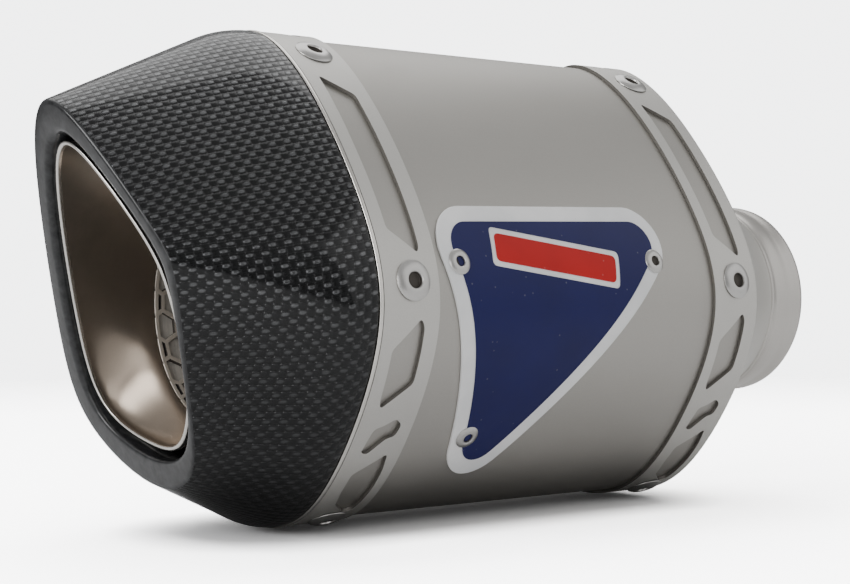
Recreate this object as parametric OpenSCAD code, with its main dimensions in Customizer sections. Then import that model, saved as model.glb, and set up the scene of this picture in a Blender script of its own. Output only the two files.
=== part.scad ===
// Slip-on motorcycle silencer with a metal sleeve, a woven-fibre outlet cap and a perforated core.
// Millimetres. The origin is the centre of the inlet mouth. +X points out of the inlet, the outlet
// is at -X, -Y is the outer side that carries the plate, and +Z is up.

/* [Sleeve] */
// Distance from the inlet mouth to the outlet end of the sleeve
sleeve_far = 166; // [155:1:172]
// Distance from the inlet mouth to the inlet end of the sleeve
sleeve_near = 37; // [34:1:42]
// Thickness of the sleeve sheet
sleeve_wall = 1; // [0.8:0.1:1.2]

/* [Bands] */
// Width of each riveted band
band_width = 16.6; // [15:0.2:18]
// Thickness of each riveted band
band_wall = 1; // [0.8:0.1:1.2]
// Distance from a band's outlet edge to its rivet line
rivet_inset = 8.8; // [8:0.1:9.4]

/* [Outlet cap] */
// Distance from the inlet mouth to the lip plane, on the axis
lip_distance = 211.2; // [209:0.2:220]
// Lean of the lip plane, in millimetres of overhang per millimetre of height
lip_lean = 0.374; // [0.3:0.01:0.4]
// Thickness of the cap where it meets the sleeve
cap_wall = 2.4; // [2:0.1:2.8]
// How far the cap's opening is turned inward
lip_return = 9; // [7:0.5:10]

/* [Core] */
// Bore radius of the perforated core tube
core_r = 29.5; // [27:0.5:30]
// Wall of the core tube and of the outlet funnel
core_wall = 1; // [0.8:0.1:1.2]
// Distance from the inlet mouth to the outlet end of the core tube
core_end = 186.6; // [180:0.2:188]
// Distance across the flats of one hexagonal hole
hex_flats = 6.2; // [5:0.1:6.4]
// Depth of the steel wool wound round the core
wool_depth = 2.6; // [1.5:0.1:3]
// Hexagonal holes in one ring
hexes_round = 15; // [8:1:15]

/* [Inlet] */
// Slip bore radius of the inlet collar
inlet_r = 25.5; // [25:0.1:26]
// Outer radius of the inlet collar
collar_r = 28; // [27.6:0.1:28.4]
// Length of the collar outside the inlet cap
collar_out = 14; // [13:0.5:16]
// Full length of the collar's slip bore
collar_length = 30; // [28:1:32]

/* [Fasteners] */
// Head radius of the band rivets
rivet_head_r = 5; // [4.5:0.05:5]
// Shank radius of the band rivets
rivet_shank_r = 2.4; // [2:0.1:2.5]
// Head radius of the plate rivets
pin_head_r = 3.25; // [3:0.05:3.4]
// Shank radius of the plate rivets
pin_shank_r = 1.6; // [1.5:0.1:1.7]

/* [Plate] */
// Thickness of the riveted plate
plate_wall = 0.8; // [0.6:0.1:1]
// Height of the enamel above the plate
enamel_wall = 0.25; // [0.2:0.05:0.3]
// Width of the bare border around the enamel
plate_border = 4; // [3:0.5:5]

/* [Hanger] */
// Bolt hole radius of the hanger's steel bush
hanger_bolt_r = 4.2; // [4.1:0.1:4.4]
// Length of the hanger along the silencer
hanger_length = 48; // [48:1:52]
// Thickness of the hanger plate
hanger_wall = 3; // [2.5:0.1:3.2]

/* [Hidden] */

// Control points of the three outlines, as [Y, Z]. Each outline is a smooth closed curve.
body_outline = [[20, 76], [-9, 60], [-37, 22], [-45, -3], [-31, -32],
                [-9, -58], [25, -58], [53, -38], [59, -6], [37, 54]];
lip_outline = [[7, 51], [-7, 42], [-27, 13], [-27, 6], [-14, -24],
               [-6, -44], [19, -48], [45, -32], [43, -12], [22, 37]];
mouth_outline = [[6, 43], [-6, 35], [-23, 12], [-23, 5], [-14, -22],
                 [-5, -38], [16, -39.5], [38, -28.5], [36, -10.4], [20, 30.2]];
rim_outline = [[8, 40], [-2, 33], [-18, 12], [-18, 2], [-15, -17],
               [-1, -36], [14, -35], [36, -28], [34, -9], [19, 29]];

steps = 8;                       // points between two control points
count = steps * len(body_outline);
gap = 0.2;                       // clearance between neighbouring sheets
seal_wall = 0.7;
skirt_wall = 1.2;
skirt_depth = 15;                // how far the skirts reach into the sleeve
trim_width = 1.3;                // bright edge between the cap and the sleeve
cap_rings = 10;
rim_recess = 2;                  // the funnel's rim sits behind the lip plane
shoulder = 0.25;                 // part of the cap's length that bends
liner_rings = 6;
inlet_rings = 8;
rivet_stations = [0.70, 2.66, 5.05, 7.40, 8.78];
pin_places = [[-142.4, 2.49], [-75.5, 2.47], [-130.2, 4.09]];   // [X, station]
hanger_x = -82;
hanger_station = 8.78;
hanger_pins = [-18.5, 18.5];     // hanger rivets, along X from its middle
hanger_foot = 13;                // half the height of the hanger's foot
grommet_r = 9;
bush_r = 6;
bush_length = 16;

in_band = -band_wall;
in_sleeve = in_band - 0.05 - sleeve_wall;
in_seal = in_sleeve - 0.05 - seal_wall;
skirt_out = in_seal - 0.05;
skirt_in = skirt_out - skirt_wall;
band_x = [-sleeve_far - 0.2, -sleeve_near - band_width + 0.2];
rivet_x = [for (x = band_x) x + rivet_inset];

// One point of a smooth closed curve, at station t counted in control points
function spline(p, t) =
    let (n = len(p), i = floor(t), w = t - i,
         a = p[(i - 1 + n) % n], b = p[i % n], c = p[(i + 1) % n], d = p[(i + 2) % n])
    (pow(1 - w, 3) * a + (3 * pow(w, 3) - 6 * w * w + 4) * b
     + (1 + 3 * w + 3 * w * w - 3 * pow(w, 3)) * c + pow(w, 3) * d) / 6;

// Outward normal of the curve at station t
function normal(p, t) =
    let (e = 0.02, n = len(p), d = spline(p, (t + e) % n) - spline(p, (t - e + n) % n))
    [d[1], -d[0]] / norm(d);

// The whole curve, moved outward by grow
function outline(p, grow = 0) =
    [for (k = [0:count - 1]) let (t = k / steps) spline(p, t) + grow * normal(p, t)];

// X of the lip plane at height z, moved inward by recess
function lip_x(z, recess = 0) = -lip_distance - lip_lean * z + recess;

// Share of the taper reached at part u of the cap's length: a bend, then a straight flank
function taper(u) =
    (u < shoulder ? u * u / (2 * shoulder) : u - shoulder / 2) / (1 - shoulder / 2);

// Ring of points in the lip plane
function lip_ring(p, grow, recess) =
    [for (q = outline(p, grow)) [lip_x(q[1], recess), q[0], q[1]]];

// Ring of points across the axis
function flat_ring(p, grow, x) = [for (q = outline(p, grow)) [x, q[0], q[1]]];

// Ring between two rings: u along the axis, w across it
function mix_ring(a, b, u, w) =
    [for (k = [0:count - 1]) [a[k][0] + (b[k][0] - a[k][0]) * u,
                              a[k][1] + (b[k][1] - a[k][1]) * w,
                              a[k][2] + (b[k][2] - a[k][2]) * w]];

// Circle whose points face those of an outline
function facing_ring(p, r, x) =
    [for (q = outline(p)) let (a = atan2(q[1], q[0])) [x, r * cos(a), r * sin(a)]];

// Closed tube through a loop of rings. The last ring joins the first.
module ring_tube(rings) {
    n = len(rings);
    points = [for (r = rings) each r];
    faces = [for (i = [0:n - 1]) for (k = [0:count - 1])
             let (a = i * count, b = ((i + 1) % n) * count, j = (k + 1) % count)
             each [[a + k, a + j, b + k], [a + j, b + j, b + k]]];
    polyhedron(points, faces, convexity = 6);
}

// Turns a flat shape into one across the axis, from x0 to x1
module across(x0, x1) {
    translate([x0, 0, 0]) rotate([90, 0, 90]) linear_extrude(x1 - x0) children();
}

// Sheet that follows the body's outline between two depths
module skin(x0, x1, outer, inner) {
    across(x0, x1) difference() {
        polygon(outline(body_outline, outer));
        polygon(outline(body_outline, inner));
    }
}

// Puts a child on the body's surface, its +Z outward and its +X along the silencer
module on_surface(x, t, depth = 0) {
    q = spline(body_outline, t) + depth * normal(body_outline, t);
    n = normal(body_outline, t);
    translate([x, q[0], q[1]]) rotate([atan2(-n[0], n[1]), 0, 0]) children();
}

// Shanks through every sheet at the rivet line of band b
module rivet_holes(b) {
    for (t = rivet_stations) on_surface(rivet_x[b], t, -8)
        cylinder(h = 12, r = rivet_shank_r + 0.1, $fn = 32);
}

// Low domed rivet head with its drawn-out mandrel hole
module rivet(head_r, shank_r, length, dome) {
    hole_r = shank_r * 0.88;
    neck_r = shank_r * 0.55;
    rotate_extrude($fn = 48) polygon([
        [neck_r, -length], [shank_r, -length], [shank_r, 0.05], [head_r, 0.05], [head_r, dome / 4],
        [head_r - dome / 2, dome * 0.6], [shank_r * 1.1, dome], [hole_r, dome * 0.8],
        [hole_r, -dome], [neck_r, -dome]
    ]);
}

module band_rivets(b) {
    for (t = rivet_stations) on_surface(rivet_x[b], t)
        rivet(rivet_head_r, rivet_shank_r, 5.2, 1.2);
}

// Window cut: corners are [along X, share of the way from station t0 to t1]
module window(x, t0, t1, corners) {
    n = len(body_outline);
    a = spline(body_outline, t0 % n);
    b = spline(body_outline, t1 % n);
    way = b - a;
    translate([x, a[0], a[1]]) rotate([atan2(way[1], way[0]), 0, 0])
        translate([0, 0, -8]) linear_extrude(16)
            polygon([for (c = corners) [c[0], c[1] * norm(way)]]);
}

long_window = [[-3.8, 0], [4, 0.12], [4, 0.93], [3.4, 1], [-4, 0.9], [-4.4, 0.5], [-4.2, 0.14]];
fin_window = [[3, 0], [4.3, 0.1], [4, 0.72], [-3.4, 1], [-4.2, 0.95], [-4.4, 0.26]];
bone_window = [[2.3, 0], [4.2, 0.2], [3.6, 0.52], [1.7, 0.55],
               [-2.5, 1], [-3.7, 0.95], [-3.7, 0.25], [-0.3, 0]];
foot_window = [[4.2, 0], [4.4, 0.95], [3, 1], [-2.2, 0.8], [-3.6, 0.5], [-3.6, 0.26]];
windows = [
    [1.01, 2.40, long_window], [3.02, 3.76, fin_window], [3.88, 4.17, bone_window],
    [4.22, 4.91, foot_window], [5.88, 5.19, foot_window], [6.20, 5.93, bone_window],
    [7.05, 6.30, fin_window], [7.65, 8.57, long_window], [8.93, 10.33, long_window]
];

module band(b) {
    difference() {
        skin(band_x[b], band_x[b] + band_width, 0, in_band);
        for (w = windows) window(rivet_x[b], w[0], w[1], w[2]);
        rivet_holes(b);
    }
}

module sleeve() {
    color("#96948f") difference() {
        skin(-sleeve_far, -sleeve_near, in_band - 0.05, in_sleeve);
        rivet_holes(0);
        rivet_holes(1);
        pin_holes();
        hanger_holes();
    }
}

module outlet_cap() {
    start = -sleeve_far - 0.2 - trim_width - gap;
    outer_far = lip_ring(lip_outline, 0, 0);
    inner_far = lip_ring(mouth_outline, 0, lip_return);
    outer_near = flat_ring(body_outline, 0, start);
    inner_near = flat_ring(body_outline, -cap_wall, start);
    outer = [for (i = [0:cap_rings]) let (u = i / cap_rings)
             mix_ring(outer_near, outer_far, u, taper(u))];
    inner = [for (i = [0:cap_rings]) let (u = 1 - i / cap_rings)
             mix_ring(inner_near, inner_far, u, taper(u))];
    color("#26282b") ring_tube(concat(outer, [lip_ring(mouth_outline, 0, 0)], inner));
}

module outlet_trim() {
    face = -sleeve_far - 0.2 - trim_width;
    color("#b9b6ae") difference() {
        union() {
            skin(face, -sleeve_far - 0.2 - gap, 0.2, skirt_in);
            skin(-sleeve_far - 0.3 - gap, -sleeve_far + skirt_depth, skirt_out, skirt_in);
        }
        rivet_holes(0);
    }
}

module outlet_band() {
    color("#a6a39c") band(0);
}

module outlet_band_rivets() {
    color("#b4b1ab") band_rivets(0);
}

module inlet_band() {
    color("#a6a39c") band(1);
}

module inlet_band_rivets() {
    color("#b4b1ab") band_rivets(1);
}

module outlet_seal() {
    color("#3b3935") difference() {
        skin(-sleeve_far + 1, -sleeve_far + skirt_depth - 1, in_sleeve - 0.05, in_seal);
        rivet_holes(0);
    }
}

module inlet_seal() {
    color("#3b3935") difference() {
        skin(-sleeve_near - skirt_depth + 1, -sleeve_near - 1, in_sleeve - 0.05, in_seal);
        rivet_holes(1);
    }
}

// Inner plate that holds the core tube and the funnel in the middle of the sleeve
module outlet_bulkhead() {
    x = -sleeve_far + skirt_depth + 1;
    color("#8d8a84") difference() {
        across(x, x + 1.2) polygon(outline(body_outline, skirt_out));
        translate([x - 1, 0, 0]) rotate([0, 90, 0])
            cylinder(h = 4, r = core_r + core_wall + wool_depth + gap, $fn = 96);
    }
}

// Funnel from the rounded outlet to the round core
module outlet_liner() {
    x_end = -core_end - gap;
    inner_far = lip_ring(rim_outline, 0, rim_recess);
    outer_far = lip_ring(rim_outline, core_wall, rim_recess);
    inner_near = facing_ring(rim_outline, core_r, x_end);
    outer_near = facing_ring(rim_outline, core_r + core_wall, x_end);
    outer = [for (i = [0:liner_rings]) let (u = i / liner_rings)
             mix_ring(outer_near, outer_far, u, u * u * (3 - 2 * u))];
    inner = [for (i = [0:liner_rings]) let (u = 1 - i / liner_rings)
             mix_ring(inner_near, inner_far, u, u * u * (3 - 2 * u))];
    color("#6b5d4d") ring_tube(concat(outer, inner));
}

module core_tube() {
    x_start = -collar_length - 17;
    step = 2 * 3.1416 * core_r / hexes_round / 0.866;
    rings = floor((core_end + x_start - 8) / step);
    color("#9a8f80") difference() {
        translate([-core_end, 0, 0]) rotate([0, 90, 0]) difference() {
            cylinder(h = core_end + x_start, r = core_r + core_wall, $fn = 96);
            translate([0, 0, -1]) cylinder(h = core_end + x_start + 2, r = core_r, $fn = 96);
        }
        for (i = [0:rings - 1]) for (k = [0:hexes_round - 1])
            translate([-core_end + 6 + (i + (k % 2) / 2) * step, 0, 0])
                rotate([k * 360 / hexes_round, 0, 0])
                    translate([0, 0, core_r - 2]) rotate([0, 0, 30])
                        cylinder(h = 5, d = hex_flats / 0.866, $fn = 6);
    }
}

// Steel wool wound round the core
module core_wrap() {
    x = -core_end + 1.5;
    color("#77736c") translate([x, 0, 0]) rotate([0, 90, 0]) difference() {
        cylinder(h = -collar_length - 20 - x, r = core_r + core_wall + wool_depth, $fn = 96);
        translate([0, 0, -1])
            cylinder(h = -collar_length - 18 - x, r = core_r + core_wall + gap, $fn = 96);
    }
}

// Glass-fibre mat that fills the sleeve
module packing() {
    x0 = -sleeve_far + skirt_depth + 3;
    x1 = -sleeve_near - skirt_depth - 2;
    color("#d8c9a0") difference() {
        across(x0, x1) polygon(outline(body_outline, -5.4));
        translate([x0 - 1, 0, 0]) rotate([0, 90, 0])
            cylinder(h = x1 - x0 + 2, r = core_r + core_wall + wool_depth + 2 * gap, $fn = 96);
    }
}

// Pressed cap from the sleeve's outline down to the round collar, with a skirt inside the sleeve
module inlet_cap() {
    x0 = -sleeve_near + 0.2 + gap;
    x1 = -collar_out - gap;
    reach = -sleeve_near - skirt_depth;
    big = flat_ring(body_outline, 0, x0);
    small = facing_ring(body_outline, collar_r - 0.2, x1);
    small_in = facing_ring(body_outline, collar_r - 1.1, x1);
    big_in = flat_ring(body_outline, skirt_in, x0);
    outer = [for (i = [0:inlet_rings]) let (u = i / inlet_rings)
             mix_ring(big, small, u, 1 - pow(1 - u, 1.25))];
    inner = [for (i = [0:inlet_rings]) let (u = 1 - i / inlet_rings)
             mix_ring(big_in, small_in, u, 1 - pow(1 - u, 1.1))];
    color("#a6a39c") difference() {
        ring_tube(concat(
            [flat_ring(body_outline, skirt_out, reach), flat_ring(body_outline, skirt_out, x0 - 0.1)],
            outer, inner, [flat_ring(body_outline, skirt_in, reach)]));
        rivet_holes(1);
    }
}

// Round slip collar with a rolled bead
module inlet_collar() {
    color("#b0aca3") rotate([0, -90, 0]) rotate_extrude($fn = 128) polygon([
        [inlet_r, 0], [collar_r - 0.5, 0], [collar_r, 0.5], [collar_r, 3],
        [collar_r - 0.5, 4], [collar_r - 0.5, 5], [collar_r, 6.5], [collar_r, 9],
        [collar_r - 0.2, 11], [collar_r - 0.2, collar_out], [collar_r - 1.3, collar_out],
        [collar_r - 1.3, collar_length], [inlet_r, collar_length]
    ]);
}

// Cone that widens the inlet to the core
module inlet_flare() {
    near = collar_length + gap;
    far = collar_length + 16.6;
    color("#8f877a") rotate([0, -90, 0]) rotate_extrude($fn = 128) polygon([
        [inlet_r, near], [inlet_r + core_wall, near], [core_r + core_wall, far - 1],
        [core_r + core_wall, far], [core_r, far], [core_r, far - 1]
    ]);
}

// Plate outline seen from the outer side: a pennant with round corners, as [X, Z]
pennant = [[-145, 19], [-73, 19], [-127, -43]];
pennant_middle = (pennant[0] + pennant[1] + pennant[2]) / 3;
pennant_r = 10;
pennant_pull = 9;                // how far the corner circles move toward the middle

module pennant_shape(grow) {
    hull() for (p = pennant) {
        way = pennant_middle - p;
        translate(p + way / norm(way) * pennant_pull) circle(r = pennant_r + grow, $fn = 32);
    }
}

// Prism of a flat shape through the outer side of the body
module outer_side() {
    translate([0, -10, 0]) rotate([90, 0, 0]) linear_extrude(50) children();
}

module pin_holes() {
    for (p = pin_places) on_surface(p[0], p[1], -4) cylinder(h = 8, r = pin_shank_r + 0.1, $fn = 32);
}

module badge_plate() {
    low = in_band;
    color("#eceef0") difference() {
        intersection() {
            skin(-160, -60, low + plate_wall, low);
            outer_side() pennant_shape(0);
        }
        pin_holes();
    }
}

module enamel_layer() {
    low = in_band + plate_wall;
    skin(-160, -60, low + enamel_wall, low + 0.02);
}

// Slanting stripe across the plate
module stripe_shape(grow) {
    translate([-110, 11]) rotate(-8) square([40 + 2 * grow, 7 + 2 * grow], center = true);
}

module badge_field() {
    color("#1f2a63") difference() {
        intersection() {
            enamel_layer();
            outer_side() difference() {
                pennant_shape(-plate_border);
                stripe_shape(1.5);
            }
        }
        for (p = pin_places) on_surface(p[0], p[1], -4) cylinder(h = 8, r = pin_head_r + 0.3, $fn = 32);
    }
}

module badge_stripe() {
    color("#d8342c") intersection() {
        enamel_layer();
        outer_side() stripe_shape(0);
    }
}

module badge_rivets() {
    color("#a9a9a7") for (p = pin_places)
        on_surface(p[0], p[1], in_band + plate_wall) rivet(pin_head_r, pin_shank_r, 4, 0.85);
}

hanger_n = normal(body_outline, hanger_station);
hanger_side = [-hanger_n[1], hanger_n[0]];
hanger_q = spline(body_outline, hanger_station) + in_band * hanger_n;
fold = hanger_q - hanger_foot * hanger_side + hanger_wall * hanger_n;
tab_y = fold[0] - hanger_wall;   // inner face of the upright tab
tab_z = hanger_q[1] + 16;        // height of the bolt hole

// Bracket folded from plate: a foot on the body's far flank and an upright tab
module hanger_bracket() {
    low = hanger_q - hanger_foot * hanger_side;
    high = hanger_q + hanger_foot * hanger_side;
    color("#8f8d88") difference() {
        union() {
            across(hanger_x - hanger_length / 2, hanger_x + hanger_length / 2)
                polygon([low, fold, high + hanger_wall * hanger_n, high]);
            translate([hanger_x, tab_y + hanger_wall, 0]) rotate([90, 0, 0])
                linear_extrude(hanger_wall) hull() {
                    translate([0, tab_z]) circle(r = grommet_r + 4, $fn = 64);
                    translate([-13, fold[1] - 0.5]) square([26, 2]);
                }
        }
        translate([hanger_x, tab_y + hanger_wall + 1, tab_z]) rotate([90, 0, 0])
            cylinder(h = hanger_wall + 2, r = grommet_r, $fn = 64);
        hanger_holes();
    }
}

module hanger_holes() {
    for (x = hanger_pins) on_surface(hanger_x + x, hanger_station, -5)
        cylinder(h = 12, r = rivet_shank_r + 0.1, $fn = 32);
}

module hanger_rivets() {
    color("#b4b1ab") for (x = hanger_pins)
        on_surface(hanger_x + x, hanger_station, in_band + hanger_wall)
            rivet(rivet_head_r, rivet_shank_r, 6.5, 1.2);
}

module hanger_grommet() {
    mid = hanger_wall / 2;
    color("#1b1b1c") translate([hanger_x, tab_y + mid, tab_z]) rotate([90, 0, 0])
        rotate_extrude($fn = 64) polygon([
            [bush_r + 0.1, -7], [grommet_r + 2, -7], [grommet_r + 3, -6], [grommet_r + 3, -mid - 0.1],
            [grommet_r - 0.1, -mid - 0.1], [grommet_r - 0.1, mid + 0.1], [grommet_r + 3, mid + 0.1],
            [grommet_r + 3, 6], [grommet_r + 2, 7], [bush_r + 0.1, 7]
        ]);
}

module hanger_bush() {
    color("#c2c2c0") translate([hanger_x, tab_y + hanger_wall / 2 + bush_length / 2, tab_z])
        rotate([90, 0, 0]) difference() {
            cylinder(h = bush_length, r = bush_r, $fn = 64);
            translate([0, 0, -1]) cylinder(h = bush_length + 2, r = hanger_bolt_r, $fn = 64);
        }
}

sleeve();
outlet_cap();
outlet_trim();
outlet_band();
outlet_band_rivets();
outlet_seal();
outlet_bulkhead();
outlet_liner();
core_tube();
core_wrap();
packing();
inlet_cap();
inlet_band();
inlet_band_rivets();
inlet_seal();
inlet_collar();
inlet_flare();
badge_plate();
badge_field();
badge_stripe();
badge_rivets();
hanger_bracket();
hanger_rivets();
hanger_grommet();
hanger_bush();
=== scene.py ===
import math

import bmesh
import bpy
import numpy as np
from mathutils import Matrix, Vector
from mathutils.geometry import delaunay_2d_cdt


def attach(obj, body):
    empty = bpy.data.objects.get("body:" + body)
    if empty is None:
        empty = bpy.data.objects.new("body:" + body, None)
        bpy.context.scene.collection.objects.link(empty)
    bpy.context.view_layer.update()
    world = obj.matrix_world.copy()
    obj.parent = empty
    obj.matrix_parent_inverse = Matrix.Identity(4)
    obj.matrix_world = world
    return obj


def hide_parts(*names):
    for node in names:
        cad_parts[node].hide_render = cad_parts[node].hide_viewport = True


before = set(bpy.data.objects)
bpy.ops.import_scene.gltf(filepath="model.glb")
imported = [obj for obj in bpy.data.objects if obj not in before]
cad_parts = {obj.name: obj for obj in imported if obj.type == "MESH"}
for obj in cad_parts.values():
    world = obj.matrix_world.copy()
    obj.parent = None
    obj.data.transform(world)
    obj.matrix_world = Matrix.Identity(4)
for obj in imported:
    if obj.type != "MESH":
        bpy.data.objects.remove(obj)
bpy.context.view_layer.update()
mm = 0.001
print("frame loaded")

# Silencer outlines as [Y, Z] control points in millimetres, from the top round by the plate side
outlines = {
    "body": [
        [20, 76], [-9, 60], [-37, 22], [-45, -3], [-31, -32], [-9, -58], [25, -58], [53, -38], [59, -6],
        [37, 54]
    ],
    "lip": [
        [7, 51], [-7, 42], [-27, 13], [-27, 6], [-14, -24], [-6, -44], [19, -48], [45, -32], [43, -12],
        [22, 37]
    ],
    "mouth": [
        [6, 43], [-6, 35], [-23, 12], [-23, 5], [-14, -22], [-5, -38], [16, -39.5], [38, -28.5],
        [36, -10.4], [20, 30.2]
    ],
    "rim": [
        [8, 40], [-2, 33], [-18, 12], [-18, 2], [-15, -17], [-1, -36], [14, -35], [36, -28], [34, -9],
        [19, 29]
    ],
}

# Where things sit along the axis, in millimetres from the inlet mouth
layout = {
    "outletBand": -166.2,
    "inletBand": -53.4,
    "bandWidth": 16.6,
    "rivetLine": 8.8,
    "capStart": -167.7,
    "lipDistance": 211.2,
    "lipLean": 0.374,
}


# A smooth closed curve: every point blends four neighbouring control points with cubic B-spline weights
def splineAt(control, stations):
    p = np.array(control, float)
    i = np.floor(stations).astype(int)
    w = (stations - i)[..., None]
    a, b, c, d = (p[(i + k) % len(p)] for k in (-1, 0, 1, 2))
    return (
        (1 - w) ** 3 * a + (3 * w**3 - 6 * w**2 + 4) * b + (1 + 3 * w + 3 * w**2 - 3 * w**3) * c + w**3 * d
    ) / 6


# Outward normal of that curve: its run turned a quarter
def normalAt(control, stations):
    run = splineAt(control, stations + 0.01) - splineAt(control, stations - 0.01)
    return np.stack([run[..., 1], -run[..., 0]], axis=-1) / np.linalg.norm(run, axis=-1, keepdims=True)


stationCount = len(outlines["body"])
denseStations = np.linspace(0, stationCount, 4001)
denseRun = np.linalg.norm(np.diff(splineAt(outlines["body"], denseStations), axis=0), axis=1)
denseArc = np.concatenate([[0], np.cumsum(denseRun)])
girth = denseArc[-1]


def arcOf(station):
    return np.interp(station, denseStations, denseArc)


def stationOf(arc):
    return np.interp(arc % girth, denseArc, denseStations)


# A point of the body's skin: x along the axis, arc millimetres round it, depth outward
def onBody(x, arc, depth):
    station = stationOf(arc)
    flat = splineAt(
        outlines["body"], station
    ) + normalAt(outlines["body"], station) * np.asarray(depth)[..., None]
    return np.concatenate([np.broadcast_to(x, station.shape)[..., None], flat], axis=-1)


pointsPerStation = 28
ringStations = np.arange(stationCount * pointsPerStation) / pointsPerStation


def flatRing(x, depth=0.0):
    flat = splineAt(outlines["body"], ringStations) + depth * normalAt(outlines["body"], ringStations)
    return np.column_stack([np.full(len(flat), float(x)), flat])


# A ring in the leaning lip plane, x = -distance - lean * z, moved inward by recess
def lipRing(outline, grow=0.0, recess=0.0):
    flat = splineAt(outlines[outline], ringStations) + grow * normalAt(outlines[outline], ringStations)
    return np.column_stack([-layout["lipDistance"] - layout["lipLean"] * flat[:, 1] + recess, flat])


# A circle whose points face those of an outline
def facingRing(x, radius, outline="body"):
    flat = splineAt(outlines[outline], ringStations)
    return np.column_stack(
        [np.full(len(flat), float(x)), radius * flat / np.linalg.norm(flat, axis=1)[:, None]]
    )


# A rounded corner takes at most this share of a side
cornerShare = 0.45


# Rings with round corners: a quadratic curve from r before each profile point to r after it
def roundedRings(rings, radii, samples):
    rings = np.asarray(rings, float)
    made = []
    for k, radius in enumerate(radii):
        here = rings[k]
        if radius == 0:
            made.append(here[None])
            continue
        back, ahead = rings[k - 1] - here, rings[(k + 1) % len(rings)] - here
        backLength = np.linalg.norm(back, axis=1, keepdims=True)
        aheadLength = np.linalg.norm(ahead, axis=1, keepdims=True)
        start = here + back / backLength * np.minimum(radius, cornerShare * backLength)
        end = here + ahead / aheadLength * np.minimum(radius, cornerShare * aheadLength)
        q = np.linspace(0, 1, samples)[:, None, None]
        made.append((1 - q) ** 2 * start + 2 * q * (1 - q) * here + q**2 * end)
    return np.concatenate(made)


def placePiece(name, mesh, nodes, material):
    piece = bpy.data.objects.new(name, mesh)
    bpy.context.scene.collection.objects.link(piece)
    piece.data.materials.append(material)
    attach(piece, "root")
    if nodes:
        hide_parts(*nodes)
    return piece


# Doubles are merged, and a closed mesh whose signed volume is negative is turned outward
def finishMesh(mesh, sharp=40.0):
    work = bmesh.new()
    work.from_mesh(mesh)
    bmesh.ops.remove_doubles(work, verts=work.verts, dist=1e-7)
    if all(len(e.link_faces) == 2 for e in work.edges) and work.calc_volume(signed=True) < 0:
        bmesh.ops.reverse_faces(work, faces=work.faces)
    work.to_mesh(mesh)
    work.free()
    mesh.shade_smooth()
    mesh.set_sharp_from_angle(angle=math.radians(sharp))


# A grid of rings joined into a skin. UV is the real length round each ring and along the rings, in metres.
# Drape mixes in the first ring's lengths and skew leans the long lines.
# Finish gives each strip its material number.
def shellMesh(name, rings, uvStart=0, sharp=40.0, drape=0.0, skew=0.0, finish=None):
    rings = np.asarray(rings, float) * mm
    r, n = rings.shape[:2]
    i, k = np.meshgrid(np.arange(r), np.arange(n), indexing="ij")
    j, m = (i + 1) % r, (k + 1) % n
    faces = np.stack([i * n + k, i * n + m, j * n + m, j * n + k], axis=-1).reshape(-1, 4)
    mesh = bpy.data.meshes.new(name)
    mesh.from_pydata(rings.reshape(-1, 3).tolist(), [], faces.tolist())
    grid = rings[np.arange(r + 1) % r][:, np.arange(n + 1) % n]
    around = np.concatenate(
        [np.zeros((len(grid), 1)), np.cumsum(np.linalg.norm(np.diff(grid, axis=1), axis=2), axis=1)], axis=1
    )
    around -= around[:, uvStart][:, None]
    around = around * (1 - drape) + around[:1] * drape
    onward = np.concatenate(
        [np.zeros((1, n + 1)), np.cumsum(np.linalg.norm(np.diff(grid, axis=0), axis=2), axis=0)]
    )
    around = around - skew * onward
    corners = [(i, k), (i, k + 1), (i + 1, k + 1), (i + 1, k)]
    uv = np.stack([np.stack([around[c], onward[c]], axis=-1) for c in corners], axis=2)
    mesh.uv_layers.new(name="UVMap").data.foreach_set("uv", uv.astype(np.float32).ravel())
    if finish is not None:
        mesh.polygons.foreach_set("material_index", np.repeat(np.asarray(finish, np.int32), n))
    finishMesh(mesh, sharp)
    return mesh


# A profile of (radius, height) turned round local Z, repeated at every 4x4 place in millimetres
def turnedMesh(name, profile, places, segments=48, loop=False, sharp=30.0, finish=None):
    profile = np.asarray(profile, float)
    angle = np.arange(segments) / segments * 2 * np.pi
    one = np.stack([
        profile[:, :1] * np.cos(angle),
        profile[:, :1] * np.sin(angle),
        np.repeat(profile[:, 1:], segments, axis=1),
    ], axis=-1)
    places = np.asarray(places, float)
    points = np.einsum("pab,rnb->prna", places[:, :3, :3], one) + places[:, None, None, :3, 3]
    p, r, n = points.shape[:3]
    a, i, k = np.meshgrid(np.arange(p), np.arange(r if loop else r - 1), np.arange(n), indexing="ij")
    j, m = (i + 1) % r, (k + 1) % n
    base = a * r * n
    faces = np.stack(
        [base + i * n + k, base + i * n + m, base + j * n + m, base + j * n + k], axis=-1
    ).reshape(-1, 4)
    mesh = bpy.data.meshes.new(name)
    mesh.from_pydata((points.reshape(-1, 3) * mm).tolist(), [], faces.tolist())
    if finish is not None:
        mesh.polygons.foreach_set("material_index", np.tile(np.repeat(np.asarray(finish, np.int32), n), p))
    finishMesh(mesh, sharp)
    return mesh


# The place of a fastener on the body: local Z outward, local X along the silencer
def bodyPlace(x, station, depth=0.0):
    station = np.array([float(station)])
    y, z = (splineAt(outlines["body"], station) + depth * normalAt(outlines["body"], station))[0]
    ny, nz = normalAt(outlines["body"], station)[0]
    return [[1, 0, 0, x], [0, nz, ny, y], [0, -ny, nz, z], [0, 0, 0, 1]]


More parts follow.
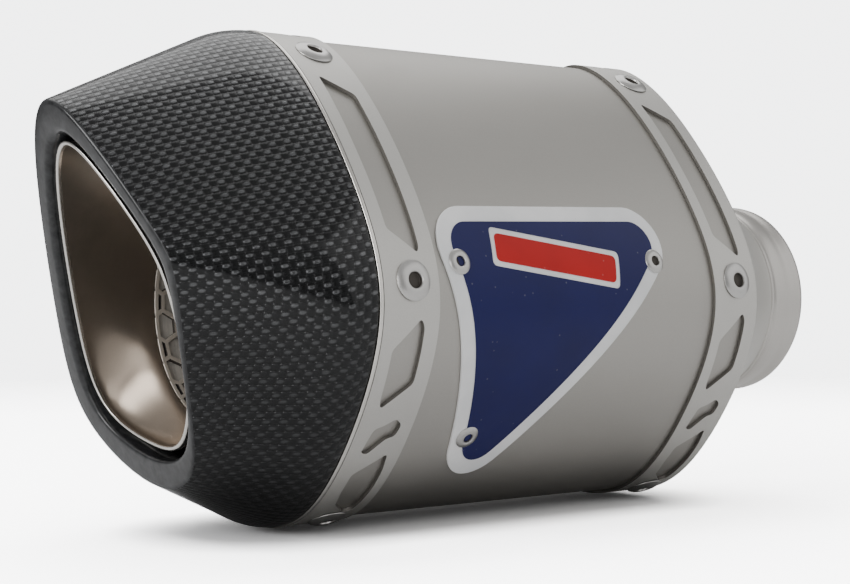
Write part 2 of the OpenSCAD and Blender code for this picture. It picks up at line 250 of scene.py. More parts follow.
# A closed loop with rounded corners, sampled no coarser than step
def roundedLoop(corners, radius, step):
    p = np.asarray(corners, float)
    back, ahead = np.roll(p, 1, axis=0) - p, np.roll(p, -1, axis=0) - p
    backLength = np.linalg.norm(back, axis=1, keepdims=True)
    aheadLength = np.linalg.norm(ahead, axis=1, keepdims=True)
    reach = np.minimum(radius, cornerShare * np.minimum(backLength, aheadLength))
    start, end = p + back / backLength * reach, p + ahead / aheadLength * reach
    q = np.linspace(0, 1, 6)[:, None, None]
    loop = ((1 - q) ** 2 * start + 2 * q * (1 - q) * p + q**2 * end).transpose(1, 0, 2).reshape(-1, 2)
    closed = np.vstack([loop, loop[:1]])
    run = np.concatenate([[0], np.cumsum(np.linalg.norm(np.diff(closed, axis=0), axis=1))])
    where = np.unique(np.round(np.concatenate([run[:-1], np.arange(0, run[-1] - step / 3, step)]), 4))
    where = where[np.concatenate([[True], np.diff(where) > 0.05])]
    return np.column_stack([np.interp(where, run, closed[:, 0]), np.interp(where, run, closed[:, 1])])


# Even-odd rule for many points at once: count the loop's sides crossed by a ray
def insideLoop(points, loop):
    a, b = loop, np.roll(loop, -1, axis=0)
    x, y = points[:, :1], points[:, 1:]
    crosses = (a[:, 1] > y) != (b[:, 1] > y)
    with np.errstate(divide="ignore", invalid="ignore"):
        at = a[:, 0] + (y - a[:, 1]) / (b[:, 1] - a[:, 1]) * (b[:, 0] - a[:, 0])
    return (crosses & (x < at)).sum(axis=1) % 2 == 1


# A flat cut-out laid on a curved skin: a constrained triangulation of its loops and a filling grid
def sheetMesh(name, boundary, holes, place, step=1.3, fill=2.6):
    loops = [np.asarray(boundary, float)] + [np.asarray(h, float) for h in holes]
    starts = np.cumsum([0] + [len(l) for l in loops])
    edges = []
    for loop, first in zip(loops, starts):
        corner = np.arange(len(loop))
        edges += np.column_stack([first + corner, first + np.roll(corner, -1)]).tolist()
    fixed = np.vstack(loops)
    low, high = loops[0].min(axis=0), loops[0].max(axis=0)
    gx, gy = np.meshgrid(
        np.arange(low[0] + fill / 2, high[0], fill), np.arange(low[1] + step / 2, high[1], step),
        indexing="ij"
    )
    grid = np.column_stack([gx.ravel(), gy.ravel()])
    keep = insideLoop(grid, loops[0]) & (
        np.linalg.norm(grid[:, None] - fixed[None], axis=2).min(axis=1) > step * 0.55
    )
    for hole in loops[1:]:
        keep &= ~insideLoop(grid, hole)
    points = np.vstack([fixed, grid[keep]])
    verts, _, faces, _, _, _ = delaunay_2d_cdt([Vector(p) for p in points.tolist()], edges, [], 1, 1e-6)
    verts, faces = np.array([tuple(v) for v in verts]), np.array(faces)
    middle = verts[faces].mean(axis=1)
    good = insideLoop(middle, loops[0])
    for hole in loops[1:]:
        good &= ~insideLoop(middle, hole)
    mesh = bpy.data.meshes.new(name)
    mesh.from_pydata((place(verts[:, 0], verts[:, 1]) * mm).tolist(), [], faces[good][:, ::-1].tolist())
    work = bmesh.new()
    work.from_mesh(mesh)
    bmesh.ops.remove_doubles(work, verts=work.verts, dist=2e-5)
    work.to_mesh(mesh)
    work.free()
    mesh.shade_smooth()
    return mesh


def thicken(piece, wall, bevel=0.15, segments=2, offset=-1.0):
    solid = piece.modifiers.new("Solidify", "SOLIDIFY")
    solid.thickness = wall * mm
    solid.offset = offset
    solid.use_even_offset = True
    roundEdges(piece, bevel, segments)


def roundEdges(piece, width, segments=2, angle=35.0):
    bevel = piece.modifiers.new("Bevel", "BEVEL")
    bevel.width = width * mm
    bevel.segments = segments
    bevel.limit_method = "ANGLE"
    bevel.angle_limit = math.radians(angle)
    bevel.harden_normals = True


# Shader building blocks
def node(tree, kind, inputs=None, **settings):
    made = tree.nodes.new(kind)
    for key, value in settings.items():
        setattr(made, key, value)
    for key, value in (inputs or {}).items():
        if isinstance(value, bpy.types.NodeSocket):
            tree.links.new(value, made.inputs[key])
        else:
            made.inputs[key].default_value = value
    return made


def calc(tree, operation, a, b=0.0, clamp=False):
    return node(tree, "ShaderNodeMath", {0: a, 1: b}, operation=operation, use_clamp=clamp).outputs[0]


def times(tree, a, b):
    return calc(tree, "MULTIPLY", a, b)


def plus(tree, a, b, clamp=False):
    return calc(tree, "ADD", a, b, clamp)


def minus(tree, a, b):
    return calc(tree, "SUBTRACT", a, b)


def objectPlace(tree):
    return node(tree, "ShaderNodeTexCoord").outputs["Object"]


def noise(tree, place, scale, detail, **more):
    inputs = {"Vector": place, "Scale": scale, "Detail": detail, **more}
    return node(tree, "ShaderNodeTexNoise", inputs).outputs[0]


def blendColour(tree, share, a, b, how="MIX"):
    made = node(tree, "ShaderNodeMix", data_type="RGBA", blend_type=how)
    for key, value in (("Factor", share), ("A", a), ("B", b)):
        socket = next(s for s in made.inputs if s.enabled and s.name == key)
        if isinstance(value, bpy.types.NodeSocket):
            tree.links.new(value, socket)
        else:
            socket.default_value = value
    return next(s for s in made.outputs if s.enabled)


def rangeOf(tree, value, low, high, toLow, toHigh):
    return node(tree, "ShaderNodeMapRange", {0: value, 1: low, 2: high, 3: toLow, 4: toHigh}).outputs[0]


def newGroup(name, inputs, outputs):
    tree = bpy.data.node_groups.new(name, "ShaderNodeTree")
    for label, kind, value in inputs:
        socket = tree.interface.new_socket(name=label, in_out="INPUT", socket_type=kind)
        socket.default_value = value
    for label, kind in outputs:
        tree.interface.new_socket(name=label, in_out="OUTPUT", socket_type=kind)
    return tree, tree.nodes.new("NodeGroupInput").outputs, tree.nodes.new("NodeGroupOutput").inputs


def useGroup(tree, group, **values):
    made = tree.nodes.new("ShaderNodeGroup")
    made.node_tree = group
    for key, value in values.items():
        socket = made.inputs[key.replace("_", " ")]
        if isinstance(value, bpy.types.NodeSocket):
            tree.links.new(value, socket)
        else:
            socket.default_value = value
    return made.outputs


def newMaterial(name, **sockets):
    material = bpy.data.materials.new(name)
    material.use_nodes = True
    tree = material.node_tree
    shader = next(n for n in tree.nodes if n.type == "BSDF_PRINCIPLED")
    for key, value in sockets.items():
        shader.inputs[key.replace("_", " ")].default_value = value
    return material, tree, shader


def feed(tree, shader, **links):
    for key, value in links.items():
        tree.links.new(value, shader.inputs[key.replace("_", " ")])


def bumpFrom(tree, height, strength, distance):
    return node(
        tree, "ShaderNodeBump", {"Height": height, "Strength": strength, "Distance": distance}
    ).outputs[0]


# Blasted or mill-finished sheet: slow cloudiness, fine pitting and faint lines along or round the part
def makeSheetGroup():
    tree, given, out = newGroup(
        "satinSheet",
        [("Colour", "NodeSocketColor", (0.4, 0.4, 0.4, 1)), ("Cloud", "NodeSocketFloat", 0.08),
         ("Line Scale", "NodeSocketVector", (60, 900, 900)), ("Lines", "NodeSocketFloat", 0.05),
         ("Roughness", "NodeSocketFloat", 0.4), ("Spread", "NodeSocketFloat", 0.08)],
        [("Colour", "NodeSocketColor"), ("Roughness", "NodeSocketFloat"), ("Height", "NodeSocketFloat")])
    place = objectPlace(tree)
    cloud = noise(tree, place, 24.0, 4.0, Roughness=0.55)
    pits = noise(tree, place, 2600.0, 2.0)
    stretched = node(
        tree, "ShaderNodeVectorMath", {0: place, 1: given["Line Scale"]}, operation="MULTIPLY"
    ).outputs[0]
    lines = noise(tree, stretched, 1.0, 3.0, Roughness=0.7)
    shade = plus(tree, times(tree, minus(tree, cloud, 0.5), given["Cloud"]),
                 times(tree, minus(tree, lines, 0.5), given["Lines"]))
    factor = plus(tree, 1.0, plus(tree, shade, times(tree, minus(tree, pits, 0.5), 0.10)))
    grey = node(tree, "ShaderNodeCombineColor", {0: factor, 1: factor, 2: factor}).outputs[0]
    tree.links.new(blendColour(tree, 1.0, given["Colour"], grey, "MULTIPLY"), out["Colour"])
    rough = plus(
        tree, given["Roughness"], times(tree, minus(tree, plus(tree, cloud, lines), 1.0), given["Spread"])
    )
    tree.links.new(rough, out["Roughness"])
    tree.links.new(
        plus(tree, times(tree, pits, 0.6), times(tree, lines, times(tree, given["Lines"], 6.0))),
        out["Height"]
    )
    return tree


# Handling marks: sparse soft smudges and specks that dull a surface
def makeWearGroup():
    tree, given, out = newGroup(
        "handlingMarks",
        [("Scale", "NodeSocketFloat", 40.0), ("Amount", "NodeSocketFloat", 0.3)],
        [("Mask", "NodeSocketFloat"), ("Specks", "NodeSocketFloat")])
    place = objectPlace(tree)
    smudge = noise(tree, place, given["Scale"], 5.0, Roughness=0.6, Distortion=0.6)
    tree.links.new(times(tree, rangeOf(tree, smudge, 0.52, 0.72, 0.0, 1.0), given["Amount"]), out["Mask"])
    specks = node(
        tree, "ShaderNodeTexVoronoi", {"Vector": place, "Scale": times(tree, given["Scale"], 9.0)}
    ).outputs["Distance"]
    tree.links.new(times(tree, rangeOf(tree, specks, 0.05, 0.09, 1.0, 0.0), given["Amount"]), out["Specks"])
    return tree


# Plain weave from UV metres: tow numbers i across and j along give (i + j) mod 2.
# At 0 the long tow is on top.
# Height is a rounded tow that dips where it goes under, with fine fibre lines along each tow.
def makeWeaveGroup():
    tree, given, out = newGroup(
        "plainWeave",
        [("Tow Width", "NodeSocketFloat", 0.002), ("Fibre", "NodeSocketFloat", 0.12)],
        [
            ("Tow Highlight", "NodeSocketFloat"), ("Height", "NodeSocketFloat"), ("Shade", "NodeSocketFloat"),
            ("Gap", "NodeSocketFloat")
        ])
    uv = node(tree, "ShaderNodeUVMap", uv_map="UVMap").outputs[0]
    wander = node(tree, "ShaderNodeTexNoise", {"Vector": uv, "Scale": 90.0, "Detail": 1.0}).outputs["Color"]
    even = node(
        tree, "ShaderNodeVectorMath", {0: wander, 1: (0.5, 0.5, 0.5)}, operation="SUBTRACT"
    ).outputs[0]
    shift = node(tree, "ShaderNodeVectorMath", {0: even, "Scale": 0.0006}, operation="SCALE").outputs[0]
    uv = node(tree, "ShaderNodeVectorMath", {0: uv, 1: shift}, operation="ADD").outputs[0]
    parts = node(tree, "ShaderNodeSeparateXYZ", {0: uv}).outputs
    u = calc(tree, "DIVIDE", plus(tree, parts[0], 1.0), given["Tow Width"])
    v = calc(tree, "DIVIDE", plus(tree, parts[1], 1.0), given["Tow Width"])
    fu, fv = calc(tree, "FRACT", u), calc(tree, "FRACT", v)
    turn = calc(tree, "MODULO", plus(tree, calc(tree, "FLOOR", u), calc(tree, "FLOOR", v)), 2.0)
    longTop = calc(tree, "LESS_THAN", turn, 0.5)

    def towHeight(across, onward):
        side = minus(tree, times(tree, across, 2.0), 1.0)
        end = minus(tree, times(tree, onward, 2.0), 1.0)
        crown = minus(tree, 1.0, calc(tree, "POWER", calc(tree, "ABSOLUTE", side), 2.4))
        dip = minus(tree, 1.0, calc(tree, "POWER", calc(tree, "ABSOLUTE", end), 3.0))
        return plus(tree, times(tree, crown, 0.5), times(tree, dip, 0.5))

    height = node(tree, "ShaderNodeMix", {0: longTop, 2: towHeight(fv, fu), 3: towHeight(fu, fv)}).outputs[0]

    def fibreLines(acrossScale, alongScale):
        stretched = {0: times(tree, u, acrossScale), 1: times(tree, v, alongScale)}
        return noise(tree, node(tree, "ShaderNodeCombineXYZ", stretched).outputs[0], 1.0, 1.0)

    longLine = fibreLines(11.0, 0.35)
    crossLine = fibreLines(0.35, 11.0)
    fibre = node(tree, "ShaderNodeMix", {0: longTop, 2: crossLine, 3: longLine}).outputs[0]
    # Painted highlight: a bright oval on the crown of each long tow, given out as a mask for the base colour
    side = calc(tree, "DIVIDE", minus(tree, fu, 0.5), 0.30)
    end = calc(tree, "DIVIDE", minus(tree, fv, 0.5), 0.52)
    oval = plus(tree, times(tree, side, side), times(tree, end, end))
    crown = times(tree, longTop, rangeOf(tree, oval, 0.25, 1.1, 1.0, 0.0))
    tree.links.new(crown, out["Tow Highlight"])
    tree.links.new(plus(tree, height, times(tree, fibre, given["Fibre"])), out["Height"])
    tree.links.new(fibre, out["Shade"])
    tree.links.new(rangeOf(tree, height, 0.12, 0.45, 1.0, 0.0), out["Gap"])
    return tree


# Heat colours along the pipe: a slow run from straw to brown, broken up by noise
def makeHeatGroup():
    tree, given, out = newGroup(
        "heatTint",
        [("Start", "NodeSocketFloat", -0.21), ("End", "NodeSocketFloat", -0.14),
         ("Cool", "NodeSocketColor", (0.3, 0.25, 0.2, 1)), ("Hot", "NodeSocketColor", (0.2, 0.12, 0.07, 1))],
        [("Colour", "NodeSocketColor")])
    place = objectPlace(tree)
    x = node(tree, "ShaderNodeSeparateXYZ", {0: place}).outputs[0]
    cloud = noise(tree, place, 55.0, 4.0, Distortion=0.8)
    along = node(
        tree, "ShaderNodeMapRange", {0: x, 1: given["Start"], 2: given["End"], 3: 0.0, 4: 1.0}
    ).outputs[0]
    mask = plus(tree, along, times(tree, minus(tree, cloud, 0.5), 0.9), clamp=True)
    tree.links.new(blendColour(tree, mask, given["Cool"], given["Hot"]), out["Colour"])
    return tree


satinSheet = makeSheetGroup()
handlingMarks = makeWearGroup()
plainWeave = makeWeaveGroup()
heatTint = makeHeatGroup()


def sheetMetal(
    name, colour, roughness, lineScale=(60, 900, 900), lines=0.05, cloud=0.08, bump=0.15, metallic=1.0
):
    material, tree, shader = newMaterial(name, Metallic=metallic)
    sheet = useGroup(
        tree, satinSheet, Colour=(*colour, 1), Cloud=cloud, Line_Scale=lineScale, Lines=lines,
        Roughness=roughness
    )
    marks = useGroup(tree, handlingMarks, Scale=30.0, Amount=0.5)
    rough = plus(tree, sheet["Roughness"], times(tree, marks["Mask"], 0.06))
    feed(
        tree, shader, Base_Color=sheet["Colour"], Roughness=rough,
        Normal=bumpFrom(tree, sheet["Height"], bump, 0.00004)
    )
    return material


finishes = {
    "sleeve": dict(colour=(0.52, 0.503, 0.472), roughness=0.48, lineScale=(40, 1400, 1400), lines=0.06),
    "band": dict(colour=(0.70, 0.687, 0.655), roughness=0.50, lineScale=(300, 300, 300), lines=0.03),
    "trim": dict(colour=(0.88, 0.85, 0.80), roughness=0.22, lineScale=(900, 60, 60), lines=0.08),
    "rivet": dict(colour=(0.66, 0.65, 0.63), roughness=0.30, lineScale=(500, 500, 500), lines=0.05),
    "collar": dict(colour=(0.68, 0.655, 0.62), roughness=0.38, lineScale=(2200, 30, 30), lines=0.10),
    "inner": dict(colour=(0.42, 0.40, 0.37), roughness=0.35, lineScale=(800, 80, 80), lines=0.08),
    "hanger": dict(colour=(0.45, 0.44, 0.42), roughness=0.42, lineScale=(80, 800, 800), lines=0.08),
    "bush": dict(colour=(0.62, 0.62, 0.61), roughness=0.25, lineScale=(200, 1500, 200), lines=0.12),
    # Painted shade: a near-black metal put in rivet holes and on the core tube's hole walls, where shade
    # falls
    "shade": dict(
        colour=(0.075, 0.066, 0.058), roughness=0.55, lineScale=(300, 300, 300), lines=0.2, metallic=0.5
    ),
    # Cut faces of the bands' windows: a darker cut edge, partly painted shade that draws dark lines along the
    # window edges
    "shadedCutEdge": dict(
        colour=(0.20, 0.19, 0.175), roughness=0.5, lineScale=(300, 300, 300), lines=0.2, metallic=0.8
    ),
    "wool": dict(
        colour=(0.60, 0.57, 0.52), roughness=0.60, lineScale=(1500, 260, 260), lines=0.7, cloud=0.5,
        bump=0.6, metallic=0.3
    ),
}
metals = {key: sheetMetal(key + "Metal", **values) for key, values in finishes.items()}


# Cloth under clear resin. The long tows' crowns carry a painted highlight, and the tows are dimmed below mid
# height as painted shade, a stand-in for lighting that was tuned.
def wovenFinish(values):
    material, tree, shader = newMaterial("wovenFibre", Coat_Weight=0.65, Coat_Roughness=0.07, Coat_IOR=1.5)
    weave = useGroup(tree, plainWeave, Tow_Width=values["tow"], Fibre=values["fibre"])
    marks = useGroup(tree, handlingMarks, Scale=26.0, Amount=1.0)
    shade = rangeOf(tree, weave["Shade"], 0.25, 0.75, 0.55, 1.25)
    height = node(tree, "ShaderNodeSeparateXYZ", {0: objectPlace(tree)}).outputs[2]
    # Painted shade by height: the crowns' painted highlight fades towards the bottom
    lit = rangeOf(tree, height, values["fadeLow"], values["fadeHigh"], values["lowHighlightShare"], 1.0)
    crown = times(tree, weave["Tow Highlight"], lit)
    tow = blendColour(tree, crown, (*values["crossTow"], 1), (*values["towHighlight"], 1))
    grey = node(tree, "ShaderNodeCombineColor", {0: shade, 1: shade, 2: shade}).outputs[0]
    tow = blendColour(tree, 1.0, tow, grey, "MULTIPLY")
    tow = blendColour(tree, weave["Gap"], tow, (0.004, 0.004, 0.005, 1))
    feed(tree, shader, Base_Color=tow,
         Metallic=rangeOf(tree, weave["Gap"], 0.0, 1.0, 0.9, 0.0),
         Roughness=plus(tree, values["roughness"], times(tree, marks["Mask"], 0.05)),
         Normal=bumpFrom(tree, weave["Height"], values["bump"], values["relief"]))
    return material


woven = wovenFinish({
    "tow": 0.00195, "fibre": 0.10, "towHighlight": (0.15, 0.153, 0.158), "crossTow": (0.011, 0.0113, 0.012),
    "fadeLow": -0.012, "fadeHigh": 0.008, "lowHighlightShare": 0.35,
    "roughness": 0.25, "bump": 1.0, "relief": 0.00048,
})


# Cut and sealed edge of the moulding: resin-rich, with the cloth only a faint mottle
def resinFinish(values):
    material, tree, shader = newMaterial(
        "sealedEdge", Coat_Weight=0.65, Coat_Roughness=0.05, Specular_IOR_Level=0.2
    )
    place = objectPlace(tree)
    mottle = noise(tree, place, values["mottle"], 3.0, Roughness=0.6)
    marks = useGroup(tree, handlingMarks, Scale=40.0, Amount=1.0)
    colour = blendColour(
        tree, rangeOf(tree, mottle, 0.3, 0.7, 0.0, 1.0), (*values["dark"], 1), (*values["light"], 1)
    )
    feed(tree, shader, Base_Color=colour, Roughness=rangeOf(tree, marks["Mask"], 0.0, 1.0, 0.34, 0.46),
         Normal=bumpFrom(tree, mottle, 0.3, 0.0001))
    return material


sealedEdge = resinFinish({"mottle": 420.0, "dark": (0.010, 0.0104, 0.011), "light": (0.034, 0.035, 0.037)})


def heatedFinish(name, cool, hot, start, end, roughness, bump, metallic):
    material, tree, shader = newMaterial(name, Metallic=metallic)
    tint = useGroup(tree, heatTint, Start=start, End=end, Cool=(*cool, 1), Hot=(*hot, 1))
    sheet = useGroup(
        tree, satinSheet, Colour=tint["Colour"], Cloud=0.15, Line_Scale=(500, 90, 90), Lines=0.1,
        Roughness=roughness, Spread=0.06
    )
    feed(
        tree, shader, Base_Color=sheet["Colour"], Roughness=sheet["Roughness"],
        Normal=bumpFrom(tree, sheet["Height"], bump, 0.00003)
    )
    return material


linerHeat = heatedFinish(
    "linerHeat", (0.20, 0.175, 0.145), (0.34, 0.28, 0.225), -0.225, -0.185, 0.30, 0.12, 0.85
)
tubeHeat = heatedFinish("tubeHeat", (0.86, 0.79, 0.70), (0.50, 0.40, 0.30), -0.18, -0.06, 0.34, 0.15, 0.6)


def enamelFinish(name, colour, peel=0.2):
    material, tree, shader = newMaterial(name, Coat_Weight=0.12, Coat_Roughness=0.08, Specular_IOR_Level=0.25)
    place = objectPlace(tree)
    cloud = noise(tree, place, 60.0, 3.0)
    marks = useGroup(tree, handlingMarks, Scale=34.0, Amount=0.6)
    deep = blendColour(
        tree, rangeOf(tree, cloud, 0.3, 0.7, 0.0, 1.0), (*[c * 0.9 for c in colour], 1),
        (*[min(1.0, c * 1.08) for c in colour], 1)
    )
    dust = blendColour(tree, times(tree, marks["Specks"], 0.25), deep, (0.5, 0.5, 0.5, 1))
    ripple = noise(tree, place, 420.0, 1.0)
    feed(tree, shader, Base_Color=dust, Roughness=rangeOf(tree, marks["Mask"], 0.0, 1.0, 0.28, 0.40),
         Normal=bumpFrom(tree, ripple, peel, 0.00003))
    return material


def softFinish(name, colour, roughness, scale, bump, relief=0.0001):
    material, tree, shader = newMaterial(name)
    place = objectPlace(tree)
    grain = noise(tree, place, scale, 4.0, Roughness=0.65)
    marks = useGroup(tree, handlingMarks, Scale=45.0, Amount=0.6)
    shade = blendColour(
        tree, rangeOf(tree, grain, 0.3, 0.7, 0.0, 1.0), (*[c * 0.7 for c in colour], 1),
        (*[min(1.0, c * 1.3) for c in colour], 1)
    )
    shade = blendColour(
        tree, times(tree, marks["Mask"], 0.3), shade, (*[min(1.0, c * 1.6 + 0.02) for c in colour], 1)
    )
    rough = rangeOf(tree, grain, 0.0, 1.0, roughness - 0.08, roughness + 0.08)
    feed(tree, shader, Base_Color=shade, Roughness=rough, Normal=bumpFrom(tree, grain, bump, relief))
    return material


enamels = {
    "white": enamelFinish("whiteEnamel", (0.93, 0.94, 0.95)),
    "blue": enamelFinish("blueEnamel", (0.004, 0.006, 0.085)),
    "red": enamelFinish("redEnamel", (0.52, 0.001, 0.001)),
}
sealRubber = softFinish("sealRubber", (0.022, 0.022, 0.022), 0.7, 900.0, 0.3)
grommetRubber = softFinish("grommetRubber", (0.018, 0.018, 0.019), 0.55, 600.0, 0.25)
glassMat = softFinish("glassMat", (0.72, 0.62, 0.38), 0.9, 500.0, 0.8, 0.0004)
print("finishes ready")

# Sleeve: one sheet rolled to the body's outline
sleeve = {"outlet": -166.0, "inlet": -37.0, "depth": -1.05, "wall": 1.0}
inside = sleeve["depth"] - sleeve["wall"]
sleeveRings = [flatRing(x, sleeve["depth"]) for x in np.linspace(sleeve["outlet"], sleeve["inlet"], 12)]
sleeveRings += [flatRing(sleeve["inlet"], inside), flatRing(sleeve["outlet"], inside)]
sleevePiece = placePiece(
    "sleeve", shellMesh("sleeve", sleeveRings), ["sleeve"], metals["sleeve"]
)
roundEdges(sleevePiece, 0.15)

# Bands: cut-outs as corners of (offset from the rivet line, millimetres round the body)
bands = {
    "wall": 1.0,
    "cornerRadius": 1.1,
    "edge": 0.1,
    "seamStation": 0.33,
    "seamPast": 3.5,
    "turnPoints": 270,
    "crossPoints": 6,
    "long": [(-4.6, 30.8), (3.3, 37.4), (3.3, 83.4), (2.6, 85.0), (-4.9, 78.8), (-5.1, 55.0)],
    "fin": [(2.4, 101.0), (3.5, 103.0), (3.4, 117.4), (-4.2, 124.0), (-5.0, 121.5), (-5.2, 108.6)],
    "bone": [
        (1.9, 127.2), (4.2, 129.0), (3.5, 132.4), (1.2, 133.0), (-2.8, 137.6), (-4.8, 137.0), (-4.3, 133.4),
        (-3.6, 130.0), (-0.6, 128.9)
    ],
    "foot": [
        (3.7, 138.0), (4.7, 143.5), (5.0, 150.0), (4.7, 157.0), (4.3, 160.2), (2.3, 161.2), (-2.9, 156.4),
        (-4.2, 150.5), (-4.2, 144.4)
    ],
    "hidden": [
        ("foot", 5.88, 5.19), ("bone", 6.20, 5.93), ("fin", 7.05, 6.30), ("long", 7.65, 8.57),
        ("long", 8.93, 10.33)
    ],
}


def bandWindows(rivetX):
    loops = [np.array(bands[key], float) for key in ("long", "fin", "bone", "foot")]
    for key, first, last in bands["hidden"]:
        loop = np.array(bands[key], float)
        ends = arcOf(first), arcOf(last % 10) + (girth if last > 10 else 0)
        share = np.interp(loop[:, 1], [loop[:, 1].min(), loop[:, 1].max()], [0, 1])
        loop[:, 1] = share * (ends[1] - ends[0]) + ends[0]
        loops.append(loop)
    return [roundedLoop(loop + [rivetX, 0], bands["cornerRadius"], 1.3) for loop in loops]


def makeBand(name, x0, nodes):
    x1 = x0 + layout["bandWidth"]
    around, across = bands["turnPoints"], bands["crossPoints"]
    seam = arcOf(bands["seamStation"]) + bands["seamPast"]
    turns = np.linspace(seam, seam + girth, around)
    steps = np.linspace(x0, x1, across + 2)[1:-1]
    boundary = np.vstack([
        np.column_stack([np.full(around, x0), turns]),
        np.column_stack([steps, np.full(across, turns[-1])]),
        np.column_stack([np.full(around, x1), turns[::-1]]),
        np.column_stack([steps[::-1], np.full(across, turns[0])])])
    windows = [w + [0, girth if w[:, 1].min() < seam else 0] for w in bandWindows(x0 + layout["rivetLine"])]
    mesh = sheetMesh(name, boundary, windows, lambda x, arc: onBody(x, arc, np.zeros_like(arc)))
    piece = placePiece(name, mesh, nodes, metals["band"])
    thicken(piece, bands["wall"], bands["edge"])
    # The rim takes the darker cut-edge finish, partly painted shade along the windows' edges
    piece.data.materials.append(metals["shadedCutEdge"])
    piece.modifiers["Solidify"].material_offset_rim = 1


makeBand("outletBand", layout["outletBand"], ["outlet_band"])
makeBand("inletBand", layout["inletBand"], ["inlet_band"])
print("sleeve and bands made")

# Blind rivets: a low dome round a shallow drawn hole. Its floor, standing for the broken mandrel inside, and
# its wall take the dark shade finish as painted shade of the hole's depth.
rivets = {
    "stations": [0.70, 2.66, 5.05, 7.40, 8.78],
    "bandProfile": [(0, 0.16), (0.9, 0.14), (1.4, 0.1), (1.75, 0.08), (1.9, 0.2), (1.95, 0.62), (2.04, 0.94),
                    (2.25, 1.1), (2.6, 1.14), (3.1, 1.06), (3.8, 0.86), (4.4, 0.6), (4.8, 0.36), (4.97, 0.24),
                    (5.0, 0.12), (4.9, 0.03), (2.4, 0.03), (2.35, -4.8), (0, -4.8)],
    "plateProfile": [(0, 0.16), (0.6, 0.14), (0.9, 0.1), (1.1, 0.08), (1.24, 0.18), (1.3, 0.45), (1.36, 0.68),
                     (1.5, 0.8), (1.75, 0.82), (2.15, 0.76), (2.7, 0.58), (3.1, 0.34), (3.25, 0.2),
                     (3.24, 0.1),
                     (3.15, 0.03), (1.6, 0.03), (1.55, -3.5), (0, -3.5)],
    "platePlaces": [(-142.4, 2.49), (-75.5, 2.47), (-130.2, 4.09)],
    "segments": 40,
    "holeStrips": 5,
}


def setRivets(name, profile, places, node):
    # The hole's strips get the dark shade finish: painted shade
    finish = (np.arange(len(profile) - 1) < rivets["holeStrips"]).astype(int)
    mesh = turnedMesh(name, profile, places, rivets["segments"], finish=finish)
    piece = placePiece(name, mesh, [node], metals["rivet"])
    piece.data.materials.append(metals["shade"])


for name, x, nodes in (
    ("outletBandRivets", layout["outletBand"], "outlet_band_rivets"),
    ("inletBandRivets", layout["inletBand"], "inlet_band_rivets")
):
    places = [bodyPlace(x + layout["rivetLine"], s) for s in rivets["stations"]]
    setRivets(name, rivets["bandProfile"], places, nodes)
places = [bodyPlace(x, s, -0.2) for x, s in rivets["platePlaces"]]
setRivets("badgeRivets", rivets["plateProfile"], places, "badge_rivets")
print("rivets made")

# Outlet cap: a bend out of the body's outline, a straight taper, a rounded lip and a return wall
cap = {
    "shoulder": 0.25, "wall": 2.4, "lipReturn": 9.0, "lipRadius": 1.25, "mouthRadius": 1.6, "steps": 26,
    "drape": 0.24, "skew": 0.245, "cornerSamples": 6, "seamStation": 3, "clothStrips": 1,
}


# Share of the taper at part u of the length: a parabola up to the shoulder, then a straight flank
def taper(u):
    s = cap["shoulder"]
    return np.where(u < s, u * u / (2 * s), u - s / 2) / (1 - s / 2)


def loft(near, far, u, share):
    return np.stack(
        [
            near[:, 0] + (far[:, 0] - near[:, 0]) * u, near[:, 1] + (far[:, 1] - near[:, 1]) * share,
            near[:, 2] + (far[:, 2] - near[:, 2]) * share
        ],
        axis=-1
    )


u = np.linspace(0, 1, cap["steps"])
capOut = [loft(flatRing(layout["capStart"]), lipRing("lip"), a, taper(a)) for a in u]
capIn = [
    loft(flatRing(layout["capStart"], -cap["wall"]), lipRing("mouth", 0, cap["lipReturn"]), a, taper(a))
    for a in u[::-2]
]
capRings = capOut + [lipRing("mouth")] + capIn
capRadii = [0.35] + [0] * (len(capOut) - 2) + [
    cap["lipRadius"], cap["mouthRadius"], 1.5
] + [0] * (len(capIn) - 2) + [0.35]
capSkin = roundedRings(capRings, capRadii, cap["cornerSamples"])
# The cloth runs over the first strips of the lip's rounding, and the sealed edge starts behind them
capFinish = np.zeros(len(capSkin))
lipStrip = cap["cornerSamples"] + len(capOut) - 2
capFinish[lipStrip + cap["clothStrips"]:-1] = 1
capMesh = shellMesh(
    "outletCap", capSkin, uvStart=cap["seamStation"] * pointsPerStation, sharp=50.0, drape=cap["drape"],
    skew=cap["skew"], finish=capFinish
)
capPiece = placePiece("outletCap", capMesh, ["outlet_cap"], woven)
capPiece.data.materials.append(sealedEdge)

# Trim: the bright edge between cap and sleeve, with its skirt inside the sleeve
trim = {
    "face": -167.5, "back": -166.4, "proud": 0.2, "skirtOut": -2.85, "skirtIn": -4.05, "reach": -151.0,
    "radius": 0.3
}
trimRings = [
    flatRing(trim["face"], trim["skirtIn"]),
    flatRing(trim["face"], trim["proud"]),
    flatRing(trim["back"], trim["proud"]),
    flatRing(trim["back"], trim["skirtOut"]),
    flatRing(trim["reach"], trim["skirtOut"]),
    flatRing(trim["reach"], trim["skirtIn"]),
]
trimMesh = shellMesh(
    "outletTrim", roundedRings(trimRings, [0, trim["radius"], trim["radius"], 0, 0.2, 0.2], 4)
)
placePiece("outletTrim", trimMesh, ["outlet_trim"], metals["trim"])

